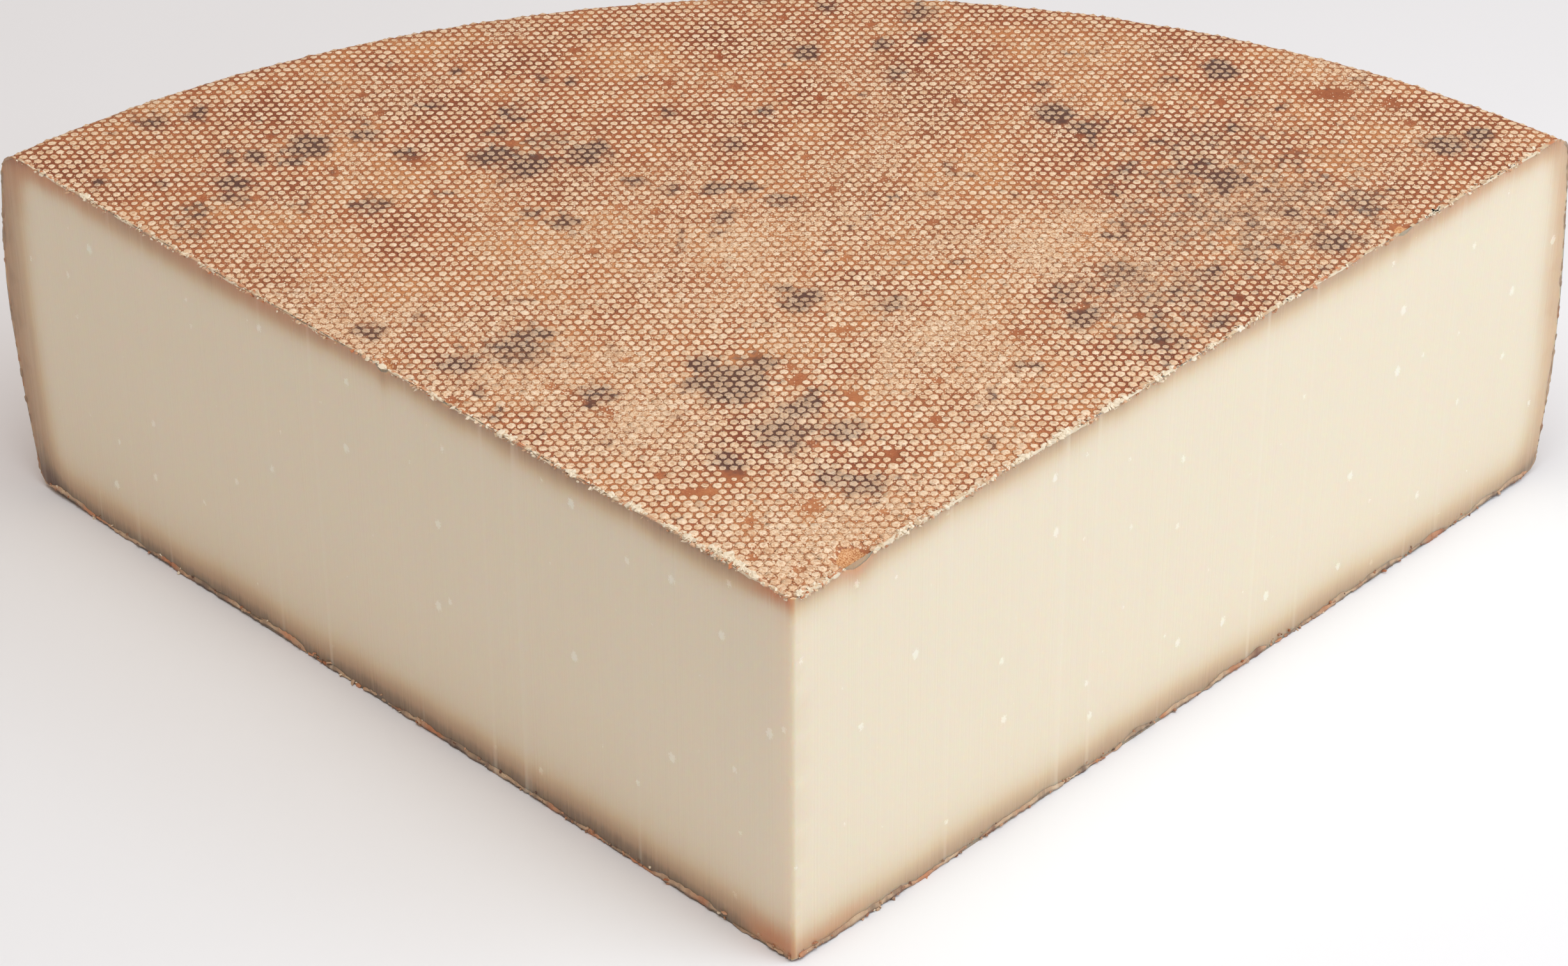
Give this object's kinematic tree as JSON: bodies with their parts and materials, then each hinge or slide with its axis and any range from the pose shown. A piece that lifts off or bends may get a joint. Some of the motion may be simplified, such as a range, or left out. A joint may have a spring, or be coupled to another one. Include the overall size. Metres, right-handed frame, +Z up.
{
  "type": "cheese wheel quarter",
  "caption": "Quarter of a large, flat hard-cheese wheel with a natural rind, cut with a wire from the middle outwards and lying on its flat base.",
  "frame": {"origin": "centre of the bounding box at the underside, on the surface the cheese lies on", "axes": "+Z up along the wheel's own axis; the sharp corner between the two cut faces points to -Y and the middle of the round heel to +Y; +X runs from one cut face's outer end to the other's"},
  "size_m": [0.4298, 0.304, 0.111],
  "materials": {
    "alpine_cheese": "matte"
  },
  "bodies": {
    "root": {"cheese_wheel_quarter": "alpine_cheese"}
  },
  "joints": []
}
